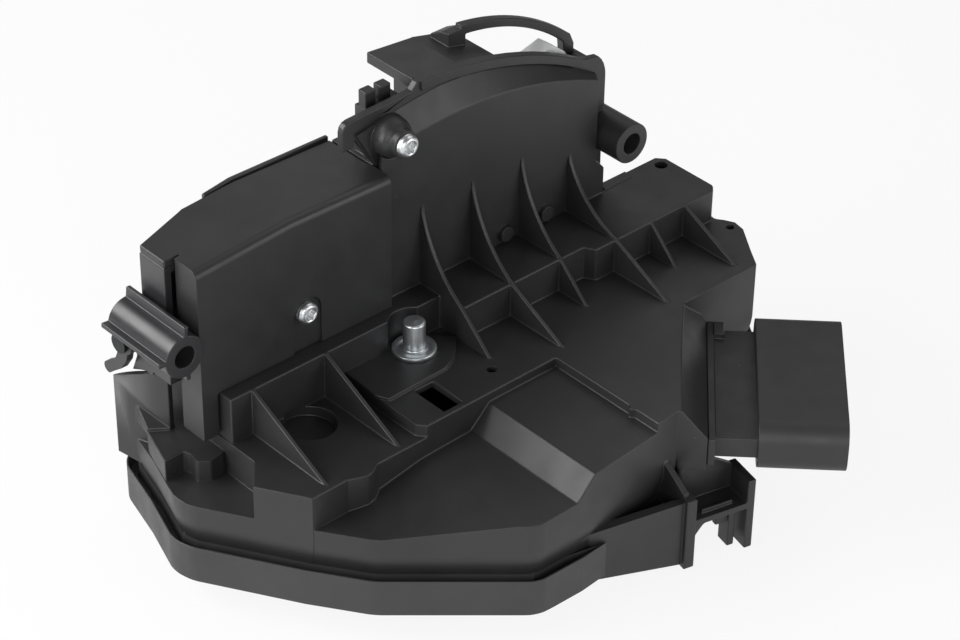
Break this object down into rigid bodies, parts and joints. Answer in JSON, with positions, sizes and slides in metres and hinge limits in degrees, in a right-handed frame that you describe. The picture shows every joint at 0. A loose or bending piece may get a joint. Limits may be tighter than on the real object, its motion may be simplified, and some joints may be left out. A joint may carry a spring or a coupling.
{
  "type": "door latch actuator",
  "caption": "L-shaped vehicle door latch actuator with ribbed wall, tall side box, angled plug shroud, locating stud, two guide tubes and a steel claw in an arched pocket.",
  "frame": {"origin": "centre of the locating stud's collar top face, where the mating bracket rests", "axes": "+Z out along the locating stud, +X along the ribbed wall towards the arched striker pocket, +Y from the ribbed side towards the steel face plate"},
  "size_m": [0.1953, 0.1462, 0.1217],
  "materials": {
    "black_moulding": "fine matte black nylon moulding",
    "grey_moulding": "natural grey acetal",
    "zinc_steel": "bright zinc plated steel",
    "plate_steel": "zinc plated pressed steel",
    "spring_wire": "spring wire",
    "tin_contact": "tinned contact",
    "seal_rubber": "soft seal",
    "gear_acetal": "white acetal"
  },
  "bodies": {
    "housing": {"main_housing": "black_moulding", "base_cover": "black_moulding", "latch_housing": "black_moulding", "box_cover": "black_moulding", "lever_housing": "black_moulding", "connector": "black_moulding", "locating_stud": "zinc_steel", "box_screw": "zinc_steel", "wall_screw": "zinc_steel", "contact_pins": "tin_contact", "connector_seal": "seal_rubber", "face_plate": "plate_steel", "claw_pivot": "plate_steel", "pawl_pivot": "plate_steel", "claw_spring": "spring_wire", "pawl_spring": "spring_wire", "lever_pin": "plate_steel", "rod_lever_pin": "plate_steel", "lock_motor": "plate_steel", "lead_frame": "grey_moulding", "ajar_switch": "grey_moulding", "lock_switch": "grey_moulding"},
    "claw": {"claw": "zinc_steel", "claw_cushion": "grey_moulding"},
    "pawl": {"pawl": "plate_steel"},
    "outside_lever": {"outside_release_lever": "plate_steel"},
    "inside_lever": {"inside_release_lever": "plate_steel"},
    "hooked_lever": {"rod_lever": "black_moulding"},
    "worm": {"motor_worm": "grey_moulding"},
    "gear": {"worm_gear": "gear_acetal"},
    "lock_lever": {"lock_lever": "gear_acetal"}
  },
  "joints": [
    {"name": "claw_turn", "type": "hinge", "parent": "housing", "child": "claw", "pos_m": [0.05, 0.024, 0.0336], "axis": [0, -1, 0], "range_deg": [0, 38]},
    {"name": "pawl_turn", "type": "hinge", "parent": "housing", "child": "pawl", "pos_m": [0.02, 0.024, 0.0256], "axis": [0, 1, 0], "range_deg": [0, 12]},
    {"name": "outside_release", "type": "hinge", "parent": "housing", "child": "outside_lever", "pos_m": [-0.034, 0.02275, 0.0226], "axis": [0, -1, 0], "range_deg": [0, 16]},
    {"name": "inside_release", "type": "hinge", "parent": "housing", "child": "inside_lever", "pos_m": [-0.034, 0.02725, 0.0226], "axis": [0, -1, 0], "range_deg": [0, 16]},
    {"name": "hooked_lever_turn", "type": "hinge", "parent": "housing", "child": "hooked_lever", "pos_m": [-0.0706, 0.0352, 0.0164], "axis": [1, 0, 0], "range_deg": [0, 18]},
    {"name": "gear_spin", "type": "hinge", "parent": "housing", "child": "gear", "pos_m": [0.054, 0.0091, -0.0204], "axis": [0, 0, 1], "range_deg": [-60, 60]},
    {"name": "worm_spin", "type": "hinge", "parent": "housing", "child": "worm", "pos_m": [0.055, -0.01, -0.0204], "axis": [1, 0, 0], "continuous": true},
    {"name": "lock_turn", "type": "hinge", "parent": "housing", "child": "lock_lever", "pos_m": [0.022, 0.012, -0.0214], "axis": [0, 0, 1], "range_deg": [-18, 18]}
  ],
  "couplings": [
    {"joint": "worm_spin", "follows": "gear_spin", "ratio": -28},
    {"joint": "lock_turn", "follows": "gear_spin", "ratio": 0.3}
  ]
}
